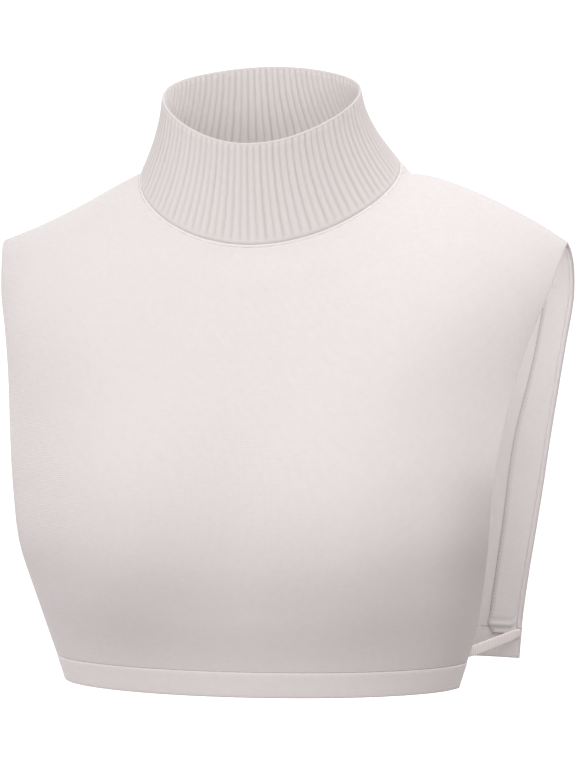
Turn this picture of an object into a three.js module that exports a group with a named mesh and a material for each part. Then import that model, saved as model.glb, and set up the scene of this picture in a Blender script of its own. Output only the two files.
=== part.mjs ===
// Turtleneck dickey: a sleeveless half top in fine knit with a ribbed funnel collar, worn under a jumper.
// Millimetres, +Z up. The front faces -Y and +X is the wearer's left.
// The origin is the middle of the neck seam, level with its two sides, where the neck passes through.
import * as THREE from "three";

// Neck seam: the ring where the collar meets the two panels.
const NECK_HALF_WIDTH = 81;
const NECK_FRONT = 78; // from the origin forward to the throat
const NECK_BACK = 60; // from the origin back to the nape
const THROAT_DROP = 43; // the seam dips at the throat
const NAPE_RISE = 17; // and climbs at the nape
const SEAM_RADIUS = 1.1; // the linked seam stands up as a fine cord

// Collar rim: a smaller ring, higher and further forward, tilted so that its front is the lower side.
const RIM_HALF_WIDTH = 61;
const RIM_HALF_DEPTH = 55.5;
const RIM_FORWARD = 19;
const RIM_ASIDE = 2.3; // it sits this far to the wearer's right
const RIM_HEIGHT = 42;
const RIM_TILT = THREE.MathUtils.degToRad(25.5);
const RIM_SIDE_LIFT = 7; // the sides of the rim stand above a flat ring
const RIM_POINT = 0.024; // and come to a soft point, as a share of its half width
const COLLAR_WALL = 2.0;
const RIB_COUNT = 92;
const RIB_DEPTH = 1.1;
const COLLAR_FLARE = 1.7; // over 1 the collar spreads late, close to the seam
const PLAIN_STRIP = 5; // the ribs fade out this far above the seam
const BOUND_EDGE = 2; // and this far below the rim

// Shoulders and hem, which both panels share.
const SHOULDER_HALF_WIDTH = 181;
const SHOULDER_SET_BACK = 48; // the shoulder tip lies this far behind the neck side
const SHOULDER_DROP = 44;
const FRONT_LENGTH = 313; // neck side down to the hem
const BACK_LENGTH = 313;

// Panels: the front goes out over the bust, the back lies flatter.
const BUST_DEPTH = 128;
const BACK_DEPTH = 122;
const PANEL_WALL = 1.5;
const FRONT_WRAP = THREE.MathUtils.degToRad(74); // how far the front panel turns round the side
const BACK_WRAP = THREE.MathUtils.degToRad(52);
const BUST_FULLNESS = 9; // each side of the bust stands this far out of the plain curve
const BUST_HALF_SPACING = 70;
const BUST_LEVEL = 200; // below the neck sides
const BUST_SPREAD = 40;

// Hem bands: the cloth folded double.
const FRONT_HEM_HEIGHT = 16.5;
const BACK_HEM_HEIGHT = 20;
const HEM_WALL = 2.6;

// Armhole facings: the turned-in edge of each panel, on the inner side.
const FACING_WIDTH = 24;
const FACING_WALL = 1.2;

// Side straps: flat knitted elastic from the front facing to the back facing.
const STRAP_WIDTH = 5;
const STRAP_WALL = 1.5;
const STRAP_TAB = 12; // sewn length at each end
const STRAP_CLEAR = 0.5; // above the front hem band's top, and below the back one's

const GAP = 0.3; // between pieces that are sewn together

// How finely the cloth is divided.
const POINTS_PER_RIB = 3;
const NECK_COLUMNS = 16;
const SHOULDER_COLUMNS = 4;
const PANEL_ROWS = 13;
const HEM_ROWS = 2;
const SEAM_STEPS = 64;
const SEAM_SIDES = 6;

// Of half a panel's width, the share that hangs from the neck; the rest hangs from the shoulder.
const NECK_SHARE = 0.5;
// Over this share of its fall the cloth leaves the line of the seams and takes the body's shape.
const SETTLE = 0.42;
// Below the seams their corner at the neck side softens: over the first share of the fall, the line
// the cloth hangs from becomes an average over this share of the width to each side.
const SOFTEN = 0.12;
const SOFT_REACH = 0.2;
const SOFT_STEPS = 8;

// The shoulder seam from the neck side to the tip. along, back and the two drops, one for the wearer's
// right and one for the left, are shares of its three extents.
const SHOULDER_SEAM = [
  { along: 0, back: 0, dropRight: 0, dropLeft: 0 },
  { along: 0.15, back: 0.3, dropRight: 0.14, dropLeft: 0.04 },
  { along: 0.3, back: 0.55, dropRight: 0.3, dropLeft: 0.15 },
  { along: 0.5, back: 0.8, dropRight: 0.52, dropLeft: 0.35 },
  { along: 0.7, back: 0.93, dropRight: 0.73, dropLeft: 0.58 },
  { along: 0.86, back: 0.98, dropRight: 0.88, dropLeft: 0.79 },
  { along: 1, back: 1, dropRight: 1, dropLeft: 1 },
];

// The armhole edge of the front panel, by its share of the fall from shoulder tip to hem. down is a
// share of the drop, width of the shoulder's half width, and out of the depth between tip and bust.
const FRONT_EDGE = [
  { fall: 0, down: 0, width: 1, out: 0 },
  { fall: 0.025, down: 0.007, width: 0.996, out: 0.045 },
  { fall: 0.05, down: 0.023, width: 0.99, out: 0.085 },
  { fall: 0.1, down: 0.06, width: 0.975, out: 0.157 },
  { fall: 0.17, down: 0.116, width: 0.953, out: 0.251 },
  { fall: 0.28, down: 0.208, width: 0.905, out: 0.39 },
  { fall: 0.39, down: 0.317, width: 0.864, out: 0.503 },
  { fall: 0.5, down: 0.435, width: 0.832, out: 0.592 },
  { fall: 0.6, down: 0.55, width: 0.81, out: 0.655 },
  { fall: 0.7, down: 0.667, width: 0.794, out: 0.678 },
  { fall: 0.8, down: 0.779, width: 0.766, out: 0.625 },
  { fall: 0.9, down: 0.888, width: 0.73, out: 0.555 },
  { fall: 1, down: 1, width: 0.674, out: 0.51 },
];

// The front panel's middle line from throat to hem; out is a share of the bust's depth.
const FRONT_MIDDLE = [
  { fall: 0, out: NECK_FRONT / BUST_DEPTH },
  { fall: 0.1, out: 0.73 },
  { fall: 0.25, out: 0.85 },
  { fall: 0.42, out: 0.95 },
  { fall: 0.57, out: 0.99 },
  { fall: 0.7, out: 0.97 },
  { fall: 0.82, out: 0.89 },
  { fall: 0.92, out: 0.8 },
  { fall: 1, out: 0.745 },
];

// The same two lines of the back panel, with out as a share towards the back's depth.
const BACK_EDGE = [
  { fall: 0, down: 0, width: 1, out: 0 },
  { fall: 0.03, down: 0.008, width: 1.001, out: 0.114 },
  { fall: 0.055, down: 0.023, width: 1.007, out: 0.183 },
  { fall: 0.1, down: 0.062, width: 1.013, out: 0.28 },
  { fall: 0.17, down: 0.134, width: 1.009, out: 0.373 },
  { fall: 0.28, down: 0.247, width: 0.979, out: 0.441 },
  { fall: 0.39, down: 0.362, width: 0.95, out: 0.484 },
  { fall: 0.5, down: 0.477, width: 0.922, out: 0.519 },
  { fall: 0.6, down: 0.581, width: 0.899, out: 0.55 },
  { fall: 0.7, down: 0.686, width: 0.874, out: 0.577 },
  { fall: 0.8, down: 0.791, width: 0.848, out: 0.602 },
  { fall: 0.9, down: 0.895, width: 0.826, out: 0.622 },
  { fall: 1, down: 1, width: 0.812, out: 0.632 },
];
const BACK_MIDDLE = [
  { fall: 0, out: NECK_BACK / BACK_DEPTH },
  { fall: 0.08, out: 0.7 },
  { fall: 0.2, out: 0.87 },
  { fall: 0.35, out: 0.975 },
  { fall: 0.5, out: 1 },
  { fall: 0.65, out: 0.98 },
  { fall: 0.8, out: 0.94 },
  { fall: 1, out: 0.91 },
];

const KNIT_COLOUR = "#ece6e5";
const RIB_COLOUR = "#e6dddb";
const HEM_COLOUR = "#e9e2e0";
const STRAP_COLOUR = "#e4dad8";

const { lerp, clamp, smoothstep } = THREE.MathUtils;
const steps = (count) => Array.from({ length: count + 1 }, (_, i) => i / count);

// The value of one column of a table, on a smooth curve through its rows.
function follow(table, key, column, at) {
  const last = table.length - 2;
  let row = 0;
  while (row < last && at > table[row + 1][key]) row += 1;
  const slope = (i) => {
    const low = table[Math.max(i - 1, 0)];
    const high = table[Math.min(i + 1, table.length - 1)];
    return (high[column] - low[column]) / (high[key] - low[key]);
  };
  const [from, to] = [table[row], table[row + 1]];
  const span = to[key] - from[key];
  const s = clamp((at - from[key]) / span, 0, 1);
  const [s2, s3] = [s * s, s * s * s];
  return (
    (2 * s3 - 3 * s2 + 1) * from[column] +
    (s3 - 2 * s2 + s) * span * slope(row) +
    (3 * s2 - 2 * s3) * to[column] +
    (s3 - s2) * span * slope(row + 1)
  );
}

// The neck seam's centre line. Angle 0 is the throat, a quarter turn is the wearer's left.
function neckSeam(angle) {
  const c = Math.cos(angle);
  return new THREE.Vector3(
    NECK_HALF_WIDTH * Math.sin(angle),
    (-(NECK_FRONT + NECK_BACK) * c + (NECK_BACK - NECK_FRONT) * c * c) / 2,
    (-(THROAT_DROP + NAPE_RISE) * c + (NAPE_RISE - THROAT_DROP) * c * c) / 2,
  );
}

// The collar's rim at the same angle.
function collarRim(angle) {
  const c = (Math.cos(angle) + RIM_POINT * Math.cos(3 * angle)) / (1 + RIM_POINT);
  const s = (Math.sin(angle) - RIM_POINT * Math.sin(3 * angle)) / (1 + RIM_POINT);
  return new THREE.Vector3(
    RIM_HALF_WIDTH * s - RIM_ASIDE,
    -RIM_FORWARD - RIM_HALF_DEPTH * c * Math.cos(RIM_TILT),
    RIM_HEIGHT - RIM_HALF_DEPTH * c * Math.sin(RIM_TILT) + RIM_SIDE_LIFT * s * s,
  );
}

// The middle of the collar's wall: climb 0 is the seam and 1 the rim.
function collarWall(angle, climb) {
  const seam = neckSeam(angle);
  const rim = collarRim(angle);
  const spread = (1 - climb) ** COLLAR_FLARE;
  return new THREE.Vector3(
    lerp(rim.x, seam.x, spread),
    lerp(rim.y, seam.y, spread),
    lerp(seam.z, rim.z, climb),
  );
}

// The shoulder seam: along 0 is the neck side and 1 the tip; side is 1 or -1.
function shoulderSeam(along, side) {
  const drop = side > 0 ? "dropLeft" : "dropRight";
  return new THREE.Vector3(
    side * lerp(NECK_HALF_WIDTH, SHOULDER_HALF_WIDTH, along),
    SHOULDER_SET_BACK * follow(SHOULDER_SEAM, "along", "back", along),
    -SHOULDER_DROP * follow(SHOULDER_SEAM, "along", drop, along),
  );
}

// What sets one panel apart from the other. towards is the sign of the side of Y that it faces. From
// shoulderFrom to shoulderTo, across, the cloth goes from falling straight to lying over the shoulder.
const FRONT = {
  towards: -1,
  length: FRONT_LENGTH,
  depth: -BUST_DEPTH,
  wrap: FRONT_WRAP,
  hemHeight: FRONT_HEM_HEIGHT,
  edge: FRONT_EDGE,
  middle: FRONT_MIDDLE,
  fullness: BUST_FULLNESS,
  shoulderFrom: 0.3,
  shoulderTo: 1,
};
const BACK = {
  towards: 1,
  length: BACK_LENGTH,
  depth: BACK_DEPTH,
  wrap: BACK_WRAP,
  hemHeight: BACK_HEM_HEIGHT,
  edge: BACK_EDGE,
  middle: BACK_MIDDLE,
  fullness: 0,
  shoulderFrom: 0.1,
  shoulderTo: 0.5,
};

// Where a panel's cloth begins: across runs from -1 to 1, the middle of it along the neck seam and
// the rest along the two shoulder seams.
function topLine(panel, across) {
  const out = Math.abs(across);
  const side = Math.sign(across) || 1;
  if (out > NECK_SHARE) return shoulderSeam((out - NECK_SHARE) / (1 - NECK_SHARE), side);
  const quarter = (out / NECK_SHARE) * (Math.PI / 2);
  return neckSeam(panel.towards < 0 ? side * quarter : Math.PI - side * quarter);
}

// The same line as the cloth lower down still follows it.
function softTopLine(panel, across, fall) {
  const reach = Math.min(SOFT_REACH * Math.min(fall / SOFTEN, 1), 1 - Math.abs(across));
  const sum = new THREE.Vector3();
  let total = 0;
  for (let i = 1 - SOFT_STEPS; i < SOFT_STEPS; i += 1) {
    const weight = 1 + Math.cos((i / SOFT_STEPS) * Math.PI);
    sum.addScaledVector(topLine(panel, across + (i / SOFT_STEPS) * reach), weight);
    total += weight;
  }
  return sum.divideScalar(total);
}

// The body's own shape under a panel, before the seams pull the cloth to their line.
function bodyAt(panel, across, fall) {
  const { edge, middle, wrap, depth } = panel;
  const turn = across * wrap;
  const crown = (Math.cos(turn) - Math.cos(wrap)) / (1 - Math.cos(wrap));
  const width = SHOULDER_HALF_WIDTH * follow(edge, "fall", "width", fall);
  const edgeY = lerp(SHOULDER_SET_BACK, depth, follow(edge, "fall", "out", fall));
  const middleY = depth * follow(middle, "fall", "out", fall);
  return { x: (width * Math.sin(turn)) / Math.sin(wrap), y: lerp(edgeY, middleY, crown) };
}

// The middle of a panel's wall: across -1 to 1, and fall 0 at the seams to 1 at the hem.
function panelWall(panel, across, fall) {
  const { edge, length, shoulderFrom, shoulderTo } = panel;
  const top = softTopLine(panel, across, fall);
  const [body, start] = [bodyAt(panel, across, fall), bodyAt(panel, across, 0)];
  const pulled = (1 - Math.min(fall / SETTLE, 1)) ** 2.5;
  const x = body.x + (top.x - start.x) * pulled;
  const y = body.y + (top.y - start.y) * pulled;
  const overShoulder = smoothstep(Math.abs(across), shoulderFrom, shoulderTo);
  const down = lerp(fall, follow(edge, "fall", "down", fall), overShoulder);
  const z = lerp(top.z, -length, down);
  const fromBust = (Math.abs(x) - BUST_HALF_SPACING) ** 2 + (z + BUST_LEVEL) ** 2;
  const full = panel.fullness * Math.exp(-fromBust / (2 * BUST_SPREAD ** 2));
  return new THREE.Vector3(x, y + panel.towards * full, z);
}

// The direction out of the cloth, from two short steps on the surface.
function panelNormal(panel, across, fall) {
  const step = 0.004;
  const acrossLow = panelWall(panel, Math.max(across - step, -1), fall);
  const acrossHigh = panelWall(panel, Math.min(across + step, 1), fall);
  const fallLow = panelWall(panel, across, Math.max(fall - step, 0));
  const fallHigh = panelWall(panel, across, Math.min(fall + step, 1));
  return acrossHigh
    .sub(acrossLow)
    .cross(fallHigh.sub(fallLow))
    .multiplyScalar(panel.towards)
    .normalize();
}

// At the shoulder seam both panels share one direction, so that their walls stand face to face.
function shoulderNormal(across) {
  return panelNormal(FRONT, across, 0).add(panelNormal(BACK, across, 0)).normalize();
}

// The share of a panel's fall that clears the neck seam's cord, or at the shoulder half the gap. The
// cloth's edge is straight from column to column, so it also clears the bow of the cord between them.
function startOf(panel, across) {
  const step = 0.001;
  const slope = panelWall(panel, across, step).sub(topLine(panel, across)).length() / step;
  if (Math.abs(across) > NECK_SHARE) return GAP / 2 / slope;
  const bow = NECK_HALF_WIDTH * (1 - Math.cos(Math.PI / NECK_COLUMNS / 2));
  const needed = SEAM_RADIUS + GAP + bow;
  const turns = steps(SEAM_STEPS).map((s) => neckSeam(s * 2 * Math.PI));
  const distance = (point) =>
    Math.min(
      ...turns.slice(1).map((p, i) => {
        const nearest = new THREE.Line3(turns[i], p).closestPointToPoint(point, true, new THREE.Vector3());
        return nearest.distanceTo(point);
      }),
    );
  let fall = needed / slope;
  while (distance(panelWall(panel, across, fall)) < needed) fall += step / 4;
  return fall;
}

// The share of the fall at which a panel's wall is a given height above its hem.
function fallAbove(panel, across, height) {
  let [low, high] = [0.5, 1];
  for (let i = 0; i < 30; i += 1) {
    const middle = (low + high) / 2;
    if (panelWall(panel, across, middle).z > height - panel.length) low = middle;
    else high = middle;
  }
  return low;
}

// How far in from the armhole edge a width of cloth reaches, as a share of across.
function shareAcross(panel, side, fall, width) {
  const step = 0.1;
  const edge = panelWall(panel, side, fall);
  return (width * step) / edge.distanceTo(panelWall(panel, side * (1 - step), fall));
}

// A closed wall between two grids of points, given as rows of equal length that run the same way.
// Closed round in one direction, it is a tube with two rims; otherwise a sheet with four edges.
function closedWall(outer, inner, round) {
  const rows = outer.length;
  const columns = outer[0].length;
  const positions = [];
  for (const grid of [outer, inner]) {
    for (const row of grid) for (const p of row) positions.push(p.x, p.y, p.z);
  }
  const innerStart = rows * columns;
  const indices = [];
  const quad = (a, b, c, d) => indices.push(a, b, c, a, c, d);
  const at = (r, c) => r * columns + (c % columns);
  const lastColumn = round ? columns : columns - 1;
  for (let r = 0; r < rows - 1; r += 1) {
    for (let c = 0; c < lastColumn; c += 1) {
      const [a, b, d, e] = [at(r, c), at(r, c + 1), at(r + 1, c + 1), at(r + 1, c)];
      quad(a, b, d, e);
      quad(innerStart + a, innerStart + e, innerStart + d, innerStart + b);
    }
  }
  for (let c = 0; c < lastColumn; c += 1) {
    const [a, b] = [at(0, c), at(0, c + 1)];
    quad(b, a, innerStart + a, innerStart + b);
    const [d, e] = [at(rows - 1, c), at(rows - 1, c + 1)];
    quad(d, e, innerStart + e, innerStart + d);
  }
  for (let r = 0; !round && r < rows - 1; r += 1) {
    const [a, b] = [at(r, 0), at(r + 1, 0)];
    quad(a, b, innerStart + b, innerStart + a);
    const [d, e] = [at(r, columns - 1), at(r + 1, columns - 1)];
    quad(e, d, innerStart + d, innerStart + e);
  }
  const geometry = new THREE.BufferGeometry();
  geometry.setAttribute("position", new THREE.Float32BufferAttribute(positions, 3));
  geometry.setIndex(indices);
  geometry.computeVertexNormals();
  return geometry;
}

const dickey = new THREE.Group();

function addPiece(name, geometry, color, roughness) {
  const material = new THREE.MeshStandardMaterial({ color, roughness, metalness: 0 });
  const mesh = new THREE.Mesh(geometry, material);
  mesh.name = name;
  dickey.add(mesh);
}

// Rows of a grid run down a panel and its columns across. The outermost column on each side but one is
// the facing's inner edge, and beside the neck the shoulder part starts clear of the seam's cord.
function acrossAt(panel, fall) {
  const facing = shareAcross(panel, 1, fall, FACING_WIDTH);
  const clear = (SEAM_RADIUS + GAP) / (SHOULDER_HALF_WIDTH - NECK_HALF_WIDTH);
  const inner = lerp(NECK_SHARE, 1, clear);
  const neck = steps(NECK_COLUMNS).map((s) => lerp(-NECK_SHARE, NECK_SHARE, s));
  const side = [...steps(SHOULDER_COLUMNS).map((s) => lerp(inner, 1 - facing, s)), 1];
  return [...side.map((s) => -s).reverse(), ...neck, ...side];
}

// The points and outward directions of a panel's wall, between its seams and its hem band.
function panelGrid(panel) {
  return steps(PANEL_ROWS).map((row) =>
    acrossAt(panel, row).map((across) => {
      const fall = lerp(startOf(panel, across), fallAbove(panel, across, panel.hemHeight), row);
      const atShoulder = row === 0 && Math.abs(across) > NECK_SHARE;
      const out = atShoulder ? shoulderNormal(across) : panelNormal(panel, across, fall);
      return { point: panelWall(panel, across, fall), out };
    }),
  );
}

// The same for the hem band.
function hemGrid(panel) {
  return steps(HEM_ROWS).map((row) =>
    acrossAt(panel, 1).map((across) => {
      const fall = lerp(fallAbove(panel, across, panel.hemHeight - GAP), 1, row);
      return { point: panelWall(panel, across, fall), out: panelNormal(panel, across, fall) };
    }),
  );
}

// A grid's two faces, at two heights over the middle of the wall, closed into one piece of cloth.
// The columns run to +X, so the front's are turned round to face outwards.
function clothBetween(panel, grid, outside, inside) {
  const face = (height) =>
    grid.map((row) => {
      const points = row.map(({ point, out }) => point.clone().addScaledVector(out, height));
      return panel.towards < 0 ? points.reverse() : points;
    });
  return closedWall(face(outside), face(inside), false);
}

// The collar: ribs stand out on one face where they sink into the other.
function collar() {
  const around = RIB_COUNT * POINTS_PER_RIB;
  const height = RIM_HEIGHT;
  const start = (SEAM_RADIUS + GAP) / height;
  const climbs = [start, PLAIN_STRIP / height, 0.3, 0.62, 1 - BOUND_EDGE / height, 1];
  const face = (offset) =>
    climbs.map((climb, row) =>
      Array.from({ length: around }, (_, i) => {
        const rib = i % POINTS_PER_RIB;
        const shift = rib === 0 ? 0 : rib / POINTS_PER_RIB + (rib === 1 ? -0.08 : 0.08);
        const angle = ((Math.floor(i / POINTS_PER_RIB) + shift) / RIB_COUNT) * 2 * Math.PI;
        const ribbed = row > 0 && row < climbs.length - 1 ? RIB_DEPTH / 2 : 0;
        const step = 0.01;
        const along = collarWall(angle + step, climb).sub(collarWall(angle - step, climb));
        const up = collarWall(angle, Math.min(climb + step, 1)).sub(
          collarWall(angle, Math.max(climb - step, 0)),
        );
        const out = along.cross(up).normalize();
        const lift = offset + (rib === 0 ? -ribbed : ribbed);
        return collarWall(angle, climb).addScaledVector(out, lift);
      }),
    );
  return closedWall(face(COLLAR_WALL / 2), face(-COLLAR_WALL / 2), true);
}

// The neck seam: a fine raised cord that follows the ring.
function neckCord() {
  const section = (angle) => {
    const centre = neckSeam(angle);
    const forward = neckSeam(angle + 0.01).sub(neckSeam(angle - 0.01)).normalize();
    const up = new THREE.Vector3(0, 0, 1).addScaledVector(forward, -forward.z).normalize();
    const out = new THREE.Vector3().crossVectors(forward, up);
    return Array.from({ length: SEAM_SIDES }, (_, i) => {
      const turn = (i / SEAM_SIDES) * 2 * Math.PI;
      return centre
        .clone()
        .addScaledVector(out, SEAM_RADIUS * Math.cos(turn))
        .addScaledVector(up, SEAM_RADIUS * Math.sin(turn));
    });
  };
  const positions = [];
  const indices = [];
  for (let i = 0; i < SEAM_STEPS; i += 1) {
    for (const p of section((i / SEAM_STEPS) * 2 * Math.PI)) positions.push(p.x, p.y, p.z);
    for (let j = 0; j < SEAM_SIDES; j += 1) {
      const [here, next] = [i * SEAM_SIDES, ((i + 1) % SEAM_STEPS) * SEAM_SIDES];
      const k = (j + 1) % SEAM_SIDES;
      indices.push(here + j, next + j, next + k, here + j, next + k, here + k);
    }
  }
  const geometry = new THREE.BufferGeometry();
  geometry.setAttribute("position", new THREE.Float32BufferAttribute(positions, 3));
  geometry.setIndex(indices);
  geometry.computeVertexNormals();
  return geometry;
}

// A facing lies inside its panel, along the armhole edge.
function facing(panel, grid, side) {
  const strip = grid.map((row) => (side > 0 ? row.slice(-2) : row.slice(0, 2)));
  const outside = -PANEL_WALL / 2 - GAP;
  return clothBetween(panel, strip, outside, outside - FACING_WALL);
}

// One end of a side strap, on the inner side of a grid at a height above the hem: the middle of the
// tape at the armhole edge and at the tab's inner end, with the ways down and out of the cloth there.
// inside is how far the tape lies from the middle of the grid's wall.
function strapTab(panel, grid, height, inside, side) {
  const level = height - panel.length;
  const line = (row) => (side > 0 ? row.slice(-2).reverse() : row.slice(0, 2));
  const at = Math.max(grid.findIndex((row) => line(row)[0].point.z < level), 1);
  const [above, below] = [line(grid[at - 1]), line(grid[at])];
  const share = (above[0].point.z - level) / (above[0].point.z - below[0].point.z);
  const [edge, inner] = above.map(({ point, out }, i) => {
    const outward = out.clone().lerp(below[i].out, share).normalize();
    const down = below[i].point.clone().sub(point).normalize();
    const middle = point.clone().lerp(below[i].point, share).addScaledVector(outward, -inside);
    return { middle, outward, down };
  });
  inner.middle.lerpVectors(edge.middle, inner.middle, STRAP_TAB / FACING_WIDTH);
  return [edge, inner];
}

// A side strap: a flat elastic tape from the front facing to the back hem band. Its two bends are
// mitred, and it takes each tab's slope at its ends.
function sideStrap(facingGrid, hemBandGrid, side) {
  const frontHeight = FRONT_HEM_HEIGHT + STRAP_CLEAR + STRAP_WIDTH / 2;
  const backHeight = BACK_HEM_HEIGHT - STRAP_CLEAR - STRAP_WIDTH / 2;
  const overFacing = PANEL_WALL / 2 + GAP + FACING_WALL + GAP + STRAP_WALL / 2;
  const overHem = HEM_WALL / 2 + GAP + STRAP_WALL / 2;
  const path = [
    ...strapTab(FRONT, facingGrid, frontHeight, overFacing, side).reverse(),
    ...strapTab(BACK, hemBandGrid, backHeight, overHem, side),
  ];
  const span = path[2].middle.clone().sub(path[1].middle);
  const slant = path[1].down.clone().add(path[2].down);
  const spanOut = span.cross(slant).normalize().multiplyScalar(-side);
  const outs = path.map(({ outward }, i) => {
    if (i === 0 || i === path.length - 1) return outward.clone();
    const mitre = outward.clone().add(spanOut).normalize();
    return mitre.divideScalar(mitre.dot(spanOut));
  });
  const face = (sign) =>
    [-STRAP_WIDTH / 2, STRAP_WIDTH / 2].map((drop) => {
      const points = path.map(({ middle, down }, i) =>
        middle
          .clone()
          .addScaledVector(outs[i], (sign * STRAP_WALL) / 2)
          .addScaledVector(down, drop),
      );
      return side > 0 ? points.reverse() : points;
    });
  return closedWall(face(1), face(-1), false);
}

const frontGrid = panelGrid(FRONT);
const backGrid = panelGrid(BACK);
const frontHemGrid = hemGrid(FRONT);
const backHemGrid = hemGrid(BACK);
addPiece("collar", collar(), RIB_COLOUR, 0.9);
addPiece("neck_seam", neckCord(), HEM_COLOUR, 0.9);
addPiece("front_panel", clothBetween(FRONT, frontGrid, PANEL_WALL / 2, -PANEL_WALL / 2), KNIT_COLOUR, 0.92);
addPiece("back_panel", clothBetween(BACK, backGrid, PANEL_WALL / 2, -PANEL_WALL / 2), KNIT_COLOUR, 0.92);
addPiece("front_hem", clothBetween(FRONT, frontHemGrid, HEM_WALL / 2, -HEM_WALL / 2), HEM_COLOUR, 0.9);
addPiece("back_hem", clothBetween(BACK, backHemGrid, HEM_WALL / 2, -HEM_WALL / 2), HEM_COLOUR, 0.9);
for (const [word, side] of [["left", 1], ["right", -1]]) {
  addPiece("front_facing_" + word, facing(FRONT, frontGrid, side), KNIT_COLOUR, 0.92);
  addPiece("back_facing_" + word, facing(BACK, backGrid, side), KNIT_COLOUR, 0.92);
  addPiece("side_strap_" + word, sideStrap(frontGrid, backHemGrid, side), STRAP_COLOUR, 0.85);
}

export default dickey;
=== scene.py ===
# %% [markdown]
# # A turtleneck dickey
#
# The object is a sleeveless half top in fine knit, worn under a jumper so that only its collar
# shows: a ribbed funnel collar on two panels of jersey, with open sides that two narrow elastic
# tapes hold together. We build it as it looks when worn, and dress the measured solids piece by
# piece. Every piece is a surface that we can write down, a function of two parameters, worked out
# on a grid with numpy. That suits knitwear, because cloth is a surface with a thin and even wall.

# %% Load the measured model
import math

import bpy
import numpy as np
from mathutils import Matrix, Vector


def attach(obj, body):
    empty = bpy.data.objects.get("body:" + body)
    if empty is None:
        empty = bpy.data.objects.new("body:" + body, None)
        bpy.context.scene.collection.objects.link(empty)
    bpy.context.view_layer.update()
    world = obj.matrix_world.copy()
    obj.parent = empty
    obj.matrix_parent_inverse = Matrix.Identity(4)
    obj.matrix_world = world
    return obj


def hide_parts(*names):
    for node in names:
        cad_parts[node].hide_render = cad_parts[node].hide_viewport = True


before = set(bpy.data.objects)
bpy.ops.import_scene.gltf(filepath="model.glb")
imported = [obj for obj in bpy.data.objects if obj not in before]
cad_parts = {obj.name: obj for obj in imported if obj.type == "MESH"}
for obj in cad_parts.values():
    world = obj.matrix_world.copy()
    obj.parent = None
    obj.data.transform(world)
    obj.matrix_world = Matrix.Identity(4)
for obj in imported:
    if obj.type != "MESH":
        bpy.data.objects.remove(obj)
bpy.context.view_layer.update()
print("measured nodes:", sorted(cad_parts))

# %% [markdown]
# ## The camera
#
# A product photograph of clothing is taken from far away with a long lens, which keeps the
# shoulders and the hem in proportion. We stand 2.25 m off, a little to the wearer's left and a
# little above. A camera looks along its own -Z, so its axes are the columns right, up and back.

# %% Place the camera
AZIMUTH, ELEVATION, DISTANCE = 9.25, 3.9, 2.25
METRES_PER_PIXEL, SENSOR_MM = 0.00062, 36
IMAGE_WIDTH, IMAGE_HEIGHT = 576, 768
ORIGIN_PIXEL = (270.4, 173.2)


def direction(azimuth, elevation):
    """The way to whoever stands at these angles in degrees, where 0, 0 is straight in front."""
    a, e = math.radians(azimuth), math.radians(elevation)
    return Vector((math.sin(a) * math.cos(e), -math.cos(a) * math.cos(e), math.sin(e)))


def put(name, data):
    """A new object in the scene, made of a mesh, a light or a camera."""
    thing = bpy.data.objects.new(name, data)
    bpy.context.scene.collection.objects.link(thing)
    return thing


back, right = direction(AZIMUTH, ELEVATION), direction(AZIMUTH + 90, 0)
up = back.cross(right)
aside = (IMAGE_WIDTH / 2 - ORIGIN_PIXEL[0]) * METRES_PER_PIXEL
below = (IMAGE_HEIGHT / 2 - ORIGIN_PIXEL[1]) * METRES_PER_PIXEL

camera_data = bpy.data.cameras.new("camera")
camera_data.sensor_fit = "VERTICAL"
camera_data.sensor_height = SENSOR_MM
camera_data.lens = DISTANCE / METRES_PER_PIXEL / IMAGE_HEIGHT * SENSOR_MM
camera = put("camera", camera_data)
turned = Matrix((right, up, back)).transposed().to_4x4()
camera.matrix_world = Matrix.Translation(back * DISTANCE + right * aside - up * below) @ turned
bpy.context.scene.camera = camera
print("lens", round(camera_data.lens, 1), "mm")

# %% [markdown]
# ## Sizes
#
# The sizes are those of the measured solids, in millimetres, so that each piece of cloth lands
# where its solid is. Lengths become metres only when a mesh is made. The tables give each panel's
# armhole edge and its middle line, as shares of the named sizes.

# %% Name the sizes
NECK_HALF_WIDTH, NECK_FRONT, NECK_BACK = 81, 78, 60
THROAT_DROP, NAPE_RISE, SEAM_RADIUS = 43, 17, 1.1
RIM_HALF_WIDTH, RIM_HALF_DEPTH, RIM_FORWARD, RIM_ASIDE = 61, 55.5, 19, 2.3
RIM_HEIGHT, RIM_TILT, RIM_SIDE_LIFT, RIM_POINT = 42, math.radians(25.5), 7, 0.024
RIB_COUNT, COLLAR_FLARE = 92, 1.7
SHOULDER_HALF_WIDTH, SHOULDER_SET_BACK, SHOULDER_DROP = 181, 48, 44
BUST_FULLNESS, BUST_HALF_SPACING, BUST_LEVEL, BUST_SPREAD = 9, 70, 200, 40
LOW_FULLNESS, LOW_HALF_SPACING, LOW_LEVEL, LOW_SPREAD = 4.5, 80, 251, 24
PANEL_LENGTH, FRONT_DEPTH, BACK_DEPTH = 313, 128, 122
PANEL_WALL, HEM_WALL, FACING_WALL, FACING_WIDTH = 1.5, 2.6, 1.2, 24
STRAP_WIDTH, STRAP_WALL, STRAP_TAB, STRAP_CLEAR = 5, 1.5, 12, 0.5
GAP, NECK_SHARE, SETTLE, SOFTEN, SOFT_REACH = 0.3, 0.5, 0.42, 0.12, 0.2

# %% The shoulder seam, and both panels' lines
# along, set back, drop on the wearer's right, drop on the left
SHOULDER_SEAM = np.array([
    (0, 0, 0, 0),
    (0.15, 0.3, 0.14, 0.04),
    (0.3, 0.55, 0.3, 0.15),
    (0.5, 0.8, 0.52, 0.35),
    (0.7, 0.93, 0.73, 0.58),
    (0.86, 0.98, 0.88, 0.79),
    (1, 1, 1, 1),
])
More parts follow.
